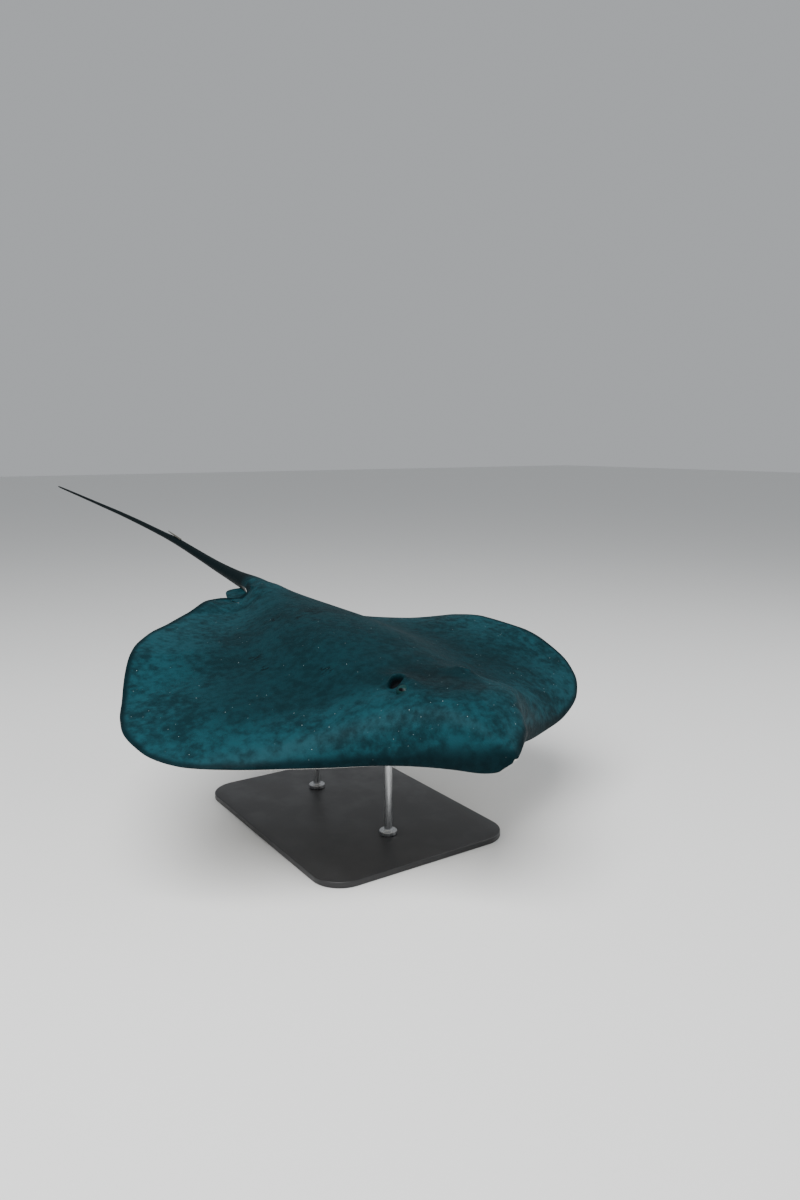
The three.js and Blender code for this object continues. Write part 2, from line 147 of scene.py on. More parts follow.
hump_reach = profile([
    (0, 30), (100, 84), (180, 112), (250, 128), (350, 152), (460, 166), (600, 150), (760, 108),
    (900, 58), (984, 34),
])
wing_flesh = profile([
    (0, 3.5), (60, 8), (150, 13), (300, 20), (450, 22), (650, 18), (850, 9), (925, 6), (984, 6),
])
rear_taper = profile([(830, 1), (895, 0.62), (925, 0.22), (984, 0.22)])
roundness = profile([(860, 0), (984, 1)])
corner_sweep = profile([(800, 0), (870, 6), (925, 26), (1030, 26)])
core_height = profile([
    (860, 26), (984, 28), (1100, 22), (1250, 18), (1500, 17), (1660, 11), (1950, -3), (2290, -24),
    (2774, -54),
])
mid_lift = profile([
    (0, 20), (15, 29), (36, 43), (70, 58), (120, 65), (170, 56), (245, 29), (330, 9), (420, 0),
    (984, 0),
])
left_lift = profile([
    (0, 21), (8, 26), (20, 32), (40, 32), (60, 18), (90, -8), (130, -34), (203, -68), (250, -70),
    (304, -50), (360, -26), (415, -5), (531, 29), (620, 31), (689, 18), (749, -7), (840, -32),
    (925, -26), (984, 0),
])
right_lift = profile([
    (0, 14), (8, 2), (15, -7), (40, -16), (75, -20), (118, -27), (203, -44), (304, -54), (415, -40),
    (531, -30), (600, -6), (650, 10), (740, 17), (840, 15), (925, 14), (984, 0),
])
left_bend = profile([
    (0, 2.4), (60, 3.4), (150, 3.2), (220, 1.9), (300, 1.4), (420, 1.6), (984, 1.7),
])
right_bend = profile([
    (0, 2.4), (60, 2.6), (120, 2.0), (200, 1.5), (300, 1.4), (420, 1.6), (984, 1.7),
])
tail_half_width = profile([
    (0, 29), (0.03, 23.5), (0.07, 18.5), (0.12, 15.5), (0.18, 13), (0.27, 11.6), (0.31, 11),
    (0.36, 8.8), (0.5, 7.4), (0.65, 6), (0.8, 4.6), (0.97, 3.2), (1, 1.8),
])
tail_half_height = profile([
    (0, 24), (0.03, 20.5), (0.07, 17), (0.12, 14), (0.18, 11.8), (0.27, 10), (0.31, 9.6), (0.36, 8),
    (0.5, 6.8), (0.65, 5.6), (0.8, 4.4), (0.97, 3.2), (1, 1.8),
])


def mix(a, b, t):
    return a + (b - a) * t


def smooth_step(low, high, value):
    t = np.clip((value - low) / (high - low), 0, 1)
    return t * t * (3 - 2 * t)


def from_rim(s, x):
    """Distance along the sheet to its nearest edge."""
    slope = (half_width(s + 1) - half_width(s - 1)) / 2
    return np.minimum((half_width(s) - np.abs(x)) / np.hypot(1, slope), s)


def flesh(s, x, middle, core, wing_share):
    """Height of the flesh over the sheet, or its depth under it, with a rounded rim."""
    width = half_width(s)
    across = np.minimum(np.abs(x) / width, 1)
    wing = wing_flesh(s) * wing_share
    hump = (middle - wing) * np.exp(-((np.abs(x) / hump_reach(s)) ** 3.2))
    flat = rim_thickness(s) / 2 + wing * (1 - across) ** 0.85 + hump
    oval = core + (middle - core) * np.sqrt(np.maximum(1 - across ** 2, 0))
    outside = np.clip((np.abs(x) - trunk_half_width(s)) / 30, 0, 1)
    height = mix(flat, oval, roundness(s)) * mix(1, rear_taper(s), outside)
    inward = np.clip(from_rim(s, x) / (rim_thickness(s) * 0.62), 0, 1)
    rim = np.sqrt(np.clip(1 - (1 - inward) ** 2, 0, 1))
    return height * mix(rim, 1, smooth_step(935, 984, s))


def place(s, x, z):
    """The place, in mm in the ray's own frame, of points at heights z above the sheet."""
    side = np.where(x < 0, -1.0, 1.0)
    start = np.where(s > WING_END, trunk_half_width(s), 0.3 * np.minimum(half_width(s), 330))
    span = np.maximum(half_width(s) - start, 1)
    reach = np.clip((np.abs(x) - start) / span, 0, 1)
    fall = np.where(side > 0, left_lift(s), right_lift(s)) - mid_lift(s)
    power = np.where(side > 0, left_bend(s), right_bend(s))
    drawn_in = 0.6 * fall ** 2 * reach ** 2.4 / np.maximum(span, 150)
    slope = fall * power * reach ** (power - 1) / np.maximum(span, 110)
    lean = np.hypot(1, slope)
    sweep = corner_sweep(s) * np.clip((np.abs(x) - 40) / 60, 0, 1)
    return np.stack([
        x - side * (drawn_in + z * slope / lean),
        s + sweep - BODY_LENGTH / 2,
        mid_lift(s) + fall * reach ** power + z / lean,
    ], axis=-1)


def tail_place(s, x, height):
    """The same for the tail, where x and height are shares of its half width and half height."""
    t = (s - BODY_LENGTH) / TAIL_LENGTH
    tip = np.sqrt(np.clip((1 - t) / 0.0025, 0, 1))
    return np.stack([
        -13 * t - 27 * t * t + tail_half_width(t) * x * tip,
        s - BODY_LENGTH / 2,
        core_height(s) + tail_half_height(t) * height * tip,
    ], axis=-1)


RAY = Matrix.Translation(BODY_CENTRE) @ Euler((NOSE_DOWN, LEFT_DOWN, 0)).to_matrix().to_4x4()


def to_row(points):
    """Points in mm of the ray's own frame to metres of the row's."""
    turn = np.array(RAY.to_3x3())
    return points * MM @ turn.T + np.array(BODY_CENTRE)


def bell(value):
    return np.exp(-(value ** 2))


def back_height(s, x):
    """Height of the back over the sheet, with the mounds behind the eyes and their orbits."""
    across = np.abs(x) - MOUND["x"]
    reach = np.where(across < 0, MOUND["inner"], MOUND["outer"])
    mound = MOUND["height"] * bell((s - MOUND["s"]) / MOUND["length"]) * bell(across / reach)
    along, across = (s - ORBIT["s"]) / ORBIT["length"], (np.abs(x) - ORBIT["x"]) / ORBIT["width"]
    mound -= ORBIT["depth"] * bell(along) * bell(across)
    return flesh(s, x, back_flesh(s), core_height(s), 1) + mound


def belly_depth(s, x):
    """Depth of the belly under the sheet."""
    return flesh(s, x, belly_flesh(s), -core_height(s), 0.7)


def shape_eyelids(points, s, x):
    """Sinks the skin under the bare part of each eyeball, with a low lid along its edge."""
    reach = np.hypot(np.abs(x) - EYE["x"], (s - EYE["s"]) / EYE["stretch"])
    ball = EYE["height"] + np.sqrt(np.maximum(EYE["radius"] ** 2 - reach ** 2, 0))
    covered = np.where(reach < EYE["radius"] + 1, points[..., 2] - ball, 9.0)
    points[..., 2] += 1.3 * bell((covered - 0.9) / 1.4)
    points[..., 2] -= 5 * smooth_step(0.2, 2.5, -covered)


def shape_spiracles(points, s, x):
    """Sinks the two breathing holes behind the eyes, and gives back how hollow each point is."""
    side = np.where(x < 0, -1.0, 1.0)
    across, along = np.abs(x) - SPIRACLE["x"], s - SPIRACLE["s"]
    cosine, sine = math.cos(SPIRACLE["turn"]), math.sin(SPIRACLE["turn"])
    a = (across * cosine + along * sine) / SPIRACLE["width"]
    b = (along * cosine - across * sine) / SPIRACLE["length"]
    out = np.hypot(a, b)
    pit = 1 - smooth_step(0.5, 1.0, out)
    lip = 1.2 * bell((out - 1.13) / 0.12) - 4 * bell((out - 1) / 0.35) * np.clip(a, 0, 1)
    points[..., 0] -= side * 0.42 * SPIRACLE["depth"] * pit
    points[..., 1] += 0.2 * SPIRACLE["depth"] * pit
    points[..., 2] += lip - 0.9 * SPIRACLE["depth"] * pit
    return pit


def groove(s, x, middle, length, width, turn=0.0, bow=0.0):
    """A mask that is 1 along the middle of a slit in the underside."""
    along = (x - middle[1]) * math.cos(turn) + (s - middle[0]) * math.sin(turn)
    across = (s - middle[0]) * math.cos(turn) - (x - middle[1]) * math.sin(turn)
    across = across - bow * ((2 * along / length) ** 2 - 1)
    ends = 1 - smooth_step(0.42, 0.54, np.abs(along) / length)
    return bell(across / width) * ends


def belly_relief(s, x):
    """How far the underside stands out, and a mask of its mouth, nostrils, gill slits and vent."""
    hollow = groove(s, x, (186, 0), 92, 3.2, bow=10)
    rise = 2.6 * groove(s, x, (179, 0), 66, 5.5, bow=9)  # rear edge of the flap before the mouth
    rise += 1.6 * groove(s, x, (195, 0), 84, 6, bow=9)  # lower lip
    for side in (1, -1):
        nostril = groove(s, x, (152, side * 36), 24, 3.6, turn=side * 0.5)
        rise += 2.4 * groove(s, x, (160, side * 30), 30, 6, turn=side * 1.15)
        hollow = np.maximum(hollow, 0.8 * nostril)
        for i in range(GILLS["count"]):
            at = GILLS["s"] + GILLS["apart"] * i
            out = side * (GILLS["x"] - GILLS["narrowing"] * i)
            slit = groove(s, x, (at, out), 30, 1.8, side * GILLS["turn"], GILLS["bow"])
            flap = groove(s, x, (at - 4.6, out), 32, 3.4, side * GILLS["turn"], GILLS["bow"])
            rise += 1.5 * flap
            hollow = np.maximum(hollow, 0.9 * slit)
    vent = groove(s, x, (905, 0), 15, 5, turn=math.pi / 2)
    hollow = np.maximum(hollow, 0.7 * vent)
    return rise - GROOVE_DEPTH * hollow, hollow


# ---- The skin's mesh ----

def spaced(*zones):
    """Numbers from each zone's start to its end, in equal steps near the size that it names."""
    return np.concatenate([
        np.linspace(start, end, round((end - start) / step), endpoint=False)
        for start, end, step in zones
    ])


def columns(width, inner, outer, counts):
    """Places from the midline to the rim: even, then fine beside the eyes or gills, then open."""
    inner, outer = min(inner, 0.3 * width), min(outer, 0.6 * width)
    first = np.linspace(0, inner, counts[0], endpoint=False)
    second = np.linspace(inner, outer, counts[1], endpoint=False)
    t = np.linspace(0, 1, counts[2])
    return np.concatenate([first, second, outer + (width - outer) * (1 - (1 - t) ** 1.6)])


# Where the fine columns start and end, and how many there are before, in and after them
BACK_COLUMNS = (60, 120, (14, 32, 50))
BELLY_COLUMNS = (50, 112, (13, 30, 28))
# Zones of rows, each with its start, its end and the step between its rows
SKIN_ROWS = (
    (0.15, 4, 0.9), (4, 60, 3), (60, 140, 4.5), (140, 205, 2.7), (205, 355, 1.9), (355, 920, 6.3),
    (920, 984, 3.2),
)
PELVIC_ROWS = ((900, 925, 6), (925, 1030, 4), (1030, 1042, 1.5))
PELVIC_COLUMNS = 26
FACTS = ("underside", "from_rim", "hollow", "fan", "tail")


def facts_of(count, **told):
    """What the skin's look needs to know at each of so many points, with 0 where it isn't told."""
    return {name: np.zeros(count) + told.get(name, 0) for name in FACTS}


def body_ring(s):
    """One ring of skin at a distance s: over the back from left to right, then under the belly."""
    width = float(half_width(s))
    over = columns(width, *BACK_COLUMNS)
    under = columns(width, *BELLY_COLUMNS)
    over = np.concatenate([over[::-1], -over[1:]])
    under = np.concatenate([-under[1:-1][::-1], under[:-1]])
    distance = np.full(len(over), s)
    top = back_height(distance, over)
    low = belly_depth(distance, over)
    for end in (0, -1):
        top[end] = (top[end] - low[end]) / 2
    back = place(distance, over, top)
    shape_eyelids(back, distance, over)
    pit = shape_spiracles(back, distance, over)
    distance = np.full(len(under), s)
    relief, slit = belly_relief(distance, under)
    belly = place(distance, under, -belly_depth(distance, under) - relief)
    x = np.concatenate([over, under])
    facts = facts_of(
        len(x), underside=np.arange(len(x)) >= len(over), hollow=np.concatenate([pit, slit]),
        from_rim=from_rim(np.full(len(x), s), x) / RIM_UNIT,
        fan=np.arctan2(np.abs(x), 430 - s) * FIN_RAYS / math.pi,
    )
    facts["underside"][[0, len(over) - 1]] = 0.5
    return np.concatenate([back, belly]), facts


def tail_ring(s, angles):
    t = (s - BODY_LENGTH) / TAIL_LENGTH
    points = tail_place(np.full(len(angles), s), np.cos(angles), np.sin(angles))
    under = np.clip(0.5 - np.sin(angles) * 1.4, 0, 1) * (1 - smooth_step(0.0, 0.06, t))
    return points, facts_of(len(angles), underside=under, from_rim=0.3, tail=0.02 + t)


def tube(first, count, rings):
    """The faces between rings of points that follow each other from the first point on."""
    faces = []
    for a in range(first, first + (rings - 1) * count, count):
        b = a + count
        faces += [(a + j, b + j, b + (j + 1) % count, a + (j + 1) % count) for j in range(count)]
    return faces


def skin_mesh():
    """Points, faces and facts of the closed skin, from the snout to the end of the tail."""
    rings = [body_ring(s) for s in np.append(spaced(*SKIN_ROWS), BODY_LENGTH)]
    count = len(rings[0][0])
    faces = [tuple(range(count))] + tube(0, count, len(rings))

    # The tail takes the last ring's points nearest to even turns
    last = rings[-1][0]
    height, width = last[:, 2] - core_height(BODY_LENGTH), last[:, 0]
    flat = tail_half_height(0) / tail_half_width(0)
    angle = np.arctan2(height, width * flat) % (2 * math.pi)
    turns = np.arange(0, 2 * math.pi, 0.131)
    kept = sorted({int(np.argmin(np.abs(angle - turn))) for turn in turns})
    start = (len(rings) - 1) * count
    base = len(rings) * count
    for j, here in enumerate(kept):
        after = kept[(j + 1) % len(kept)]
        gap = (after - here) % count
        dense = [start + (here + k) % count for k in range(gap + 1)]
        faces.append(tuple(dense[::-1] + [base + j, base + (j + 1) % len(kept)]))
    shares = np.concatenate([
        np.linspace(0.002, 0.12, 40), np.linspace(0.123, 0.985, 120),
        [0.99, 0.994, 0.997, 0.9985, 0.9993, 0.9998],
    ])
    tail = [tail_ring(BODY_LENGTH + TAIL_LENGTH * t, angle[kept]) for t in shares]
    faces += tube(base, len(kept), len(tail))
    end = base + len(tail) * len(kept)
    faces.append(tuple(range(end - 1, end - len(kept) - 1, -1)))
    rings += tail
    points = np.concatenate([ring[0] for ring in rings])
    facts = {name: np.concatenate([ring[1][name] for ring in rings]) for name in FACTS}
    return points, faces, facts


pelvic_width = profile([(925, 82), (955, 80), (985, 72), (1015, 61), (1034, 47), (1042, 37)])


def pelvic_mesh(side):
    """A pelvic fin, with its root sunk in the rump."""
    rings = []
    for s in np.append(spaced(*PELVIC_ROWS), PELVIC_END - 0.1):
        outer = float(pelvic_width(s)) - 0.018 * max(WING_END - s, 0) ** 2
        inner = float(trunk_half_width(s)) - 14
        t = np.linspace(0, 1, PELVIC_COLUMNS)
        x = inner + (outer - inner) * (1 - (1 - t) ** 1.5)
        along = (PELVIC_END - s) / (PELVIC_END - WING_END)
        half = 1 + 3.5 * np.sqrt(along) * (1 - x / 94)
        edge = np.minimum((outer - x) / 1.6, (PELVIC_END - s) / 1.6)
        half = half * np.sqrt(np.clip(1 - (1 - np.clip(edge, 0, 1)) ** 2, 0, 1))
        middle = 11 + 0.06 * (PELVIC_END - s) - 0.08 * x
        y = place(np.full(len(x), s), x, 0)[..., 1]
        top = np.stack([side * x, y, middle + half], axis=-1)
        low = np.stack([side * x, y, middle - half], axis=-1)[::-1][1:]
        rings.append(np.concatenate([top, low]))
    count = len(rings[0])
    points = np.concatenate(rings)
    faces = [tuple(range(count)), tuple(range(len(points) - 1, len(points) - count - 1, -1))]
    faces += tube(0, count, len(rings))
    under = np.tile(np.arange(count) >= PELVIC_COLUMNS, len(rings))
    return points, faces, facts_of(len(points), underside=under, from_rim=0.12)


# ---- Pieces ----

def select_only(piece):
    bpy.ops.object.select_all(action="DESELECT")
    piece.select_set(True)
    bpy.context.view_layer.objects.active = piece


def new_object(name, data):
    made = bpy.data.objects.new(name, data)
    bpy.context.collection.objects.link(made)
    return made


def add_primitive(name, add, **settings):
    bpy.ops.object.select_all(action="DESELECT")
    add(**settings)
    bpy.context.object.name = name
    return bpy.context.object


def mesh_piece(name, points, faces):
    """A closed piece from its points and faces."""
    mesh = bpy.data.meshes.new(name)
    mesh.from_pydata([tuple(p) for p in points], [], faces)
    form = bmesh.new()
    form.from_mesh(mesh)
    bmesh.ops.recalc_face_normals(form, faces=form.faces)
    form.to_mesh(mesh)
    form.free()
    return new_object(name, mesh)


def points_of(piece):
    points = np.empty(len(piece.data.vertices) * 3)
    piece.data.vertices.foreach_get("co", points)
    return points.reshape(-1, 3)


def move_points(piece, points):
    piece.data.vertices.foreach_set("co", np.asarray(points, float).ravel())
    piece.data.update()


def apply_all(piece):
    """Applies the modifiers, then the place, turn and size."""
    select_only(piece)
    for modifier in list(piece.modifiers):
        bpy.ops.object.modifier_apply(modifier=modifier.name)
    bpy.ops.object.transform_apply(location=True, rotation=True, scale=True)


def finish_piece(piece, material, nodes):
    piece.data.materials.clear()
    piece.data.materials.append(material)
    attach(piece, "root")
    if nodes:
        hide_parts(*nodes)


def on_back(s, x):
    """A place on the skin of the back, in metres of the row."""
    s, x = np.array([s], float), np.array([x], float)
    return Vector(to_row(place(s, x, back_height(s, x)))[0])


def on_ray(x, s, z):
    """A place on the ray, in metres of the row, from mm in the ray's own frame."""
    return RAY @ (Vector((x, s - BODY_LENGTH / 2, z)) * MM)


# ---- Materials ----

SURFACE = "Principled BSDF"


class Nodes:
    """The nodes of a material or a node group, called n where more are added to them."""

    def __init__(self, owner):
        self.owner = owner
        self.tree = getattr(owner, "node_tree", owner)

    def feed(self, node, values):
        """Links a node's inputs to sockets, or sets them to plain values."""
        for name, value in values.items():
            if isinstance(value, NodeSocket):
                self.tree.links.new(value, node.inputs[name])
            else:
                node.inputs[name].default_value = value

    def add(self, kind, values=None, **settings):
        """A shader node with its choices made and its inputs fed."""
        node = self.tree.nodes.new("ShaderNode" + kind)
        for name, value in settings.items():
            setattr(node, name, value)
        self.feed(node, values or {})
        return node.outputs

    def finish(self, kind, values):
        """Feeds a material's surface or the world's light, and gives its owner back."""
        self.feed(self.tree.nodes[kind], values)
        return self.owner

    def maths(self, operation, *values):
        return self.add("Math", dict(enumerate(values)), operation=operation)[0]

    def plus(self, a, b):
        return self.maths("ADD", a, b)

    def minus(self, a, b):
        return self.maths("SUBTRACT", a, b)

    def times(self, a, b):
        return self.maths("MULTIPLY", a, b)

    def hypotenuse(self, a, b):
        return self.maths("SQRT", self.plus(self.times(a, a), self.times(b, b)))

    def blend(self, share, first, second):
        """A mix of two colours, each a socket or a plain colour."""
        values = {0: share, 6: rgba(first), 7: rgba(second)}
        return self.add("Mix", values, data_type="RGBA")[2]

    def ramp(self, value, low, high, out=(0.0, 1.0)):
        """A smooth rise of a value between two limits."""
        ends = {"From Min": low, "From Max": high, "To Min": out[0], "To Max": out[1]}
        values = {"Value": value, **ends}
        return self.add("MapRange", values, interpolation_type="SMOOTHSTEP")["Result"]

    def fall(self, value, low, high):
        return self.ramp(value, low, high, (1.0, 0.0))

    def noise(self, place, scale, detail=3.0, roughness=0.55, distortion=0.0):
        return self.add("TexNoise", {
            "Vector": place, "Scale": scale, "Detail": detail, "Roughness": roughness,
            "Distortion": distortion,
        })[0]

    def cells(self, place, scale):
        return self.add("TexVoronoi", {"Vector": place, "Scale": scale})

    def stretched(self, place, scale):
        return self.add("Mapping", {"Vector": place, "Scale": scale})[0]

    def bump(self, height, strength, distance):
        values = {"Height": height, "Strength": strength, "Distance": distance}
        return self.add("Bump", values)[0]

    def fact(self, name):
        return self.add("Attribute", attribute_name=name)["Fac"]


def rgba(colour):
    return colour if isinstance(colour, NodeSocket) else (*colour[:3], 1.0)


def new_material(name):
    """The nodes of a new material, and the place on the object that its patterns follow."""
    material = bpy.data.materials.new(name)
    material.use_nodes = True
    n = Nodes(material)
    return n, n.add("TexCoord")["Object"]


def use_group(n, name, inputs, outputs, build):
    """A shared node group, made where it is first used, with its inputs fed."""
    tree = bpy.data.node_groups.get(name)
    if tree is None:
        tree = bpy.data.node_groups.new(name, "ShaderNodeTree")
        for label, value in inputs.items():
            kind = "NodeSocketFloat" if isinstance(value, float) else "NodeSocketVector"
            tree.interface.new_socket(label, in_out="INPUT", socket_type=kind)
        for label in outputs:
            tree.interface.new_socket(label, in_out="OUTPUT", socket_type="NodeSocketFloat")
        inside = Nodes(tree)
        made = build(inside, tree.nodes.new("NodeGroupInput").outputs)
        inside.feed(tree.nodes.new("NodeGroupOutput"), made)
    return n.add("Group", inputs, node_tree=tree)


def mottling(n, place):
    """Soft dark patches, and tiny pale flecks of many sizes in loose crowds."""
    def build(n, source):
        place = source["Place"]
        coarse = n.noise(place, source["Coarse"], 4, 0.62, 0.4)
        fine = n.noise(place, source["Fine"], 3, 0.6)
        both = n.plus(n.times(coarse, 0.5), n.times(fine, 0.5))
        spots = n.cells(place, source["Flecks"])
        chance = n.add("SeparateColor", {"Color": spots["Color"]})
        size = n.plus(n.times(chance[1], 0.09), 0.035)
        near = n.fall(n.maths("DIVIDE", spots["Distance"], size), 0.6, 1.2)
        crowd = n.plus(chance[0], n.times(coarse, 0.3))
        flecks = n.times(near, n.ramp(crowd, 0.98, 1.03))
        return {"Patches": n.ramp(both, 0.38, 0.64), "Flecks": flecks}

    values = {"Place": place, "Coarse": 11.0, "Fine": 60.0, "Flecks": 130.0}
    return use_group(n, "Mottling", values, ("Patches", "Flecks"), build)


def scuff_and_shadow_patch(n, place, spot):
    """A torn-edged patch round a spot of the back, for scuffs and the head's painted shadow, with
    fine streaks across it.
    """
    def build(n, source):
        place = source["Place"]
        ends = {0: place, 1: source["Middle"]}
        away = n.add("VectorMath", ends, operation="DISTANCE")["Value"]
        torn = n.times(n.noise(place, 55.0, 4, 0.7), 0.8)
        share = n.plus(n.maths("DIVIDE", away, source["Size"]), torn)
        drawn = n.stretched(place, (0.22, 1.0, 1.0))
        streaks = n.ramp(n.noise(drawn, 210.0, 2, 0.6), 0.50, 0.58)
        return {"Mask": n.fall(share, 0.75, 1.45), "Streaks": streaks}

    s, x, size = spot
    values = {"Place": place, "Middle": on_back(s, x), "Size": size * MM}
    return use_group(n, "Scuffs and painted shadow", values, ("Mask", "Streaks"), build)


def skin_grain(n, place):
    """Fine pores over shallow folds."""
    def build(n, source):
        pores = n.cells(source["Place"], source["Scale"])["Distance"]
        folds = n.noise(source["Place"], n.times(source["Scale"], 0.12), 4, 0.6)
        return {"Height": n.plus(n.times(pores, 0.35), folds)}

    return use_group(n, "Skin grain", {"Place": place, "Scale": 520.0}, ("Height",), build)


# Rubbed places on the back: distance behind the snout, distance from the midline and size, in mm
SCUFFS = (
    (654, -15, 36), (706, 50, 22), (682, -91, 20), (634, -61, 20), (554, -199, 20), (498, -205, 14),
    (386, -135, 18), (600, 230, 24),
)
CROWN_SHADOW = (205, 0, 118)  # the darker skin on the head, between and before the eyes, deepened with painted shadow


def back_skin(n, place, look, rim):
    """The colour of the back and of the tops of the fins, with painted light and shade in it."""
    marks = mottling(n, place)
    # Painted light: lighter toward the rims, partly standing in for the lit slopes of the wings
    colour = n.blend(n.ramp(rim, 0.3, 2.2), look.lit_wing_colour, look.back_colour)
    patches = n.times(marks["Patches"], look.mottling)
    colour = n.blend(patches, colour, look.back_dark_colour)
    # Painted shadow on the head, between and before the eyes, over its darker skin
    crown_shadow = scuff_and_shadow_patch(n, place, CROWN_SHADOW)
    colour = n.blend(n.times(crown_shadow["Mask"], 0.6), colour, look.scuff_and_shadow_colour)
    for spot in SCUFFS:
        scuff = scuff_and_shadow_patch(n, place, spot)
        rubbed = n.times(scuff["Mask"], scuff["Streaks"])
        colour = n.blend(n.times(rubbed, 0.85), colour, look.scuff_and_shadow_colour)
    colour = n.blend(n.times(marks["Flecks"], 0.7), colour, look.fleck_colour)
    # Painted shade: a dark line just inside the rims, where the rolled-down edge falls in shade
    frayed = n.plus(rim, n.times(n.noise(place, 30.0), 0.08))
    edge = n.fall(frayed, 0.07, 0.17)
    return n.blend(n.times(edge, 0.8), colour, look.rim_shade_colour)


def belly_skin(n, look, rim, smudge):
    """The colour of the underside, pale with a dusky band just inside its thin pale edge."""
    dusky = n.minus(rim, n.times(smudge, 0.55))
    dusky = n.fall(dusky, -0.1, 0.35)
    margin = n.times(dusky, n.ramp(rim, 0.02, 0.07))
    colour = n.blend(n.ramp(smudge, 0.45, 0.75), look.belly_colour, look.belly_shade)
    return n.blend(n.times(margin, 0.85), colour, look.margin_colour)


def skin_material(look):
    n, place = new_material("Ray skin")
    under, rim, hollow, fan, tail = (n.fact(name) for name in FACTS)
    to_tail = n.ramp(tail, 0.0, 0.05)
    smudge = n.noise(place, 16.0, 4, 0.65, 0.6)
    back = n.blend(to_tail, back_skin(n, place, look, rim), look.tail_colour)
    belly = n.blend(to_tail, belly_skin(n, look, rim, smudge), look.tail_colour)
    ragged = n.plus(under, n.times(n.minus(smudge, 0.5), 0.5))
    colour = n.blend(n.ramp(ragged, 0.4, 0.6), back, belly)
    # Painted shade darkens the spiracles, mouth, nostrils, gill slits and vent, which are also made
    # rougher
    deep = n.ramp(hollow, 0.12, 0.75)
    worn = n.times(n.noise(place, 120.0, 3, 0.6), 0.22)
    gloss = n.plus(worn, look.roughness - 0.11)
    grain = skin_grain(n, place)["Height"]
    ribs = n.maths("SINE", n.times(fan, 18.0))
    ribs = n.times(n.times(ribs, n.fall(rim, 0.0, 1.6)), 0.06)
    return n.finish(SURFACE, {
        "Base Color": n.blend(deep, colour, look.hollow_shade_colour),
        "Roughness": n.plus(gloss, n.times(deep, 0.3)),
        "Specular IOR Level": 0.035,
        "Normal": n.bump(n.plus(grain, ribs), 0.5, 0.0012),
    })


def eye_material(look):
    """The eye, mapped so that its middle is the middle of the pupil and 1 is the eye's edge."""
    n, place = new_material("Ray eye")
    on_eye = n.add("UVMap", uv_map="EyeMap")[0]
    parts = n.add("SeparateXYZ", {0: on_eye})
    u, v = (n.minus(part, 0.5) for part in parts[:2])
    pupil = n.fall(n.hypotenuse(n.times(u, 0.55), v), 0.085, 0.105)
    threads = n.noise(place, 900.0, 4, 0.7)
    iris = n.blend(n.ramp(threads, 0.35, 0.7), look.iris_colour, look.iris_dark_colour)
    ball = n.blend(n.ramp(n.hypotenuse(u, v), 0.33, 0.40), iris, look.ball_colour)
    return n.finish(SURFACE, {
        "Base Color": n.blend(pupil, ball, look.pupil_colour),
        "Roughness": n.ramp(threads, 0.2, 0.9, (0.25, 0.40)),
        "Coat Weight": 0.06,
        "Coat Roughness": 0.12,
        "Specular IOR Level": 0.05,
        "Normal": n.bump(threads, 0.08, 0.0003),
    })


def sting_material(look):
    n, place = new_material("Sting bone")
    grain = n.noise(n.stretched(place, (1.0, 0.12, 1.0)), 900.0, 4, 0.65)
    colour = n.blend(n.ramp(grain, 0.3, 0.7), look.bone_colour, look.bone_dark_colour)
    slime = n.times(n.ramp(n.noise(place, 70.0, 3, 0.6), 0.45, 0.7), 0.5)
    return n.finish(SURFACE, {
        "Base Color": n.blend(slime, colour, look.bone_stain_colour),
        "Roughness": n.ramp(grain, 0.2, 0.8, (0.35, 0.6)),
        "Normal": n.bump(grain, 0.3, 0.0006),
    })


def plate_material(look):
    n, place = new_material("Stand plate paint")
    peel = n.noise(place, 700.0, 3, 0.6)
    cloud = n.noise(place, 14.0, 4, 0.6)
    dust = n.times(n.ramp(cloud, 0.5, 0.75), 0.10)
    return n.finish(SURFACE, {
        "Base Color": n.blend(dust, look.plate_colour, look.dust_colour),
        "Roughness": n.ramp(cloud, 0.25, 0.75, (0.30, 0.44)),
        "Normal": n.bump(peel, 0.16, 0.0004),
    })


def steel_material(look):
    n, place = new_material("Stand rod steel")
    lines = n.noise(n.stretched(place, (1.0, 1.0, 0.02)), 2600.0, 2, 0.6)
    colour = n.blend(n.ramp(lines, 0.3, 0.7), look.rod_colour, look.rod_dark_colour)
    return n.finish(SURFACE, {
        "Base Color": colour,
        "Roughness": n.ramp(lines, 0.25, 0.75, (0.22, 0.38)),
        "Metallic": 1.0,
        "Normal": n.bump(lines, 0.12, 0.0002),
    })


def liner_material(look):
    n, place = new_material("Cradle liner felt")
    fuzz = n.noise(place, 1400.0, 4, 0.75)
    return n.finish(SURFACE, {
        "Base Color": n.blend(n.ramp(fuzz, 0.3, 0.7), look.liner_colour, look.plate_colour),
        "Roughness": n.ramp(fuzz, 0.2, 0.8, (0.8, 0.95)),
        "Normal": n.bump(fuzz, 0.5, 0.0005),
    })


def floor_material(look):
    n, place = new_material("Studio floor")
    grain = n.times(n.noise(place, 60.0, 3, 0.5), 0.04)
    return n.finish(SURFACE, {
        "Base Color": n.blend(grain, look.floor_colour, (0.5, 0.5, 0.5)), "Roughness": 0.75,
    })


# ---- What a user may change ----

def a_colour(name, description, default):
    return bpy.props.FloatVectorProperty(
        name=name, description=description, default=default, size=3, min=0, max=1, subtype="COLOR",
    )


def a_number(name, description, default, low, high, **kind):
    return bpy.props.FloatProperty(
        name=name, description=description, default=default, min=low, max=high, **kind,
    )


LENGTH = {"subtype": "DISTANCE", "unit": "LENGTH"}


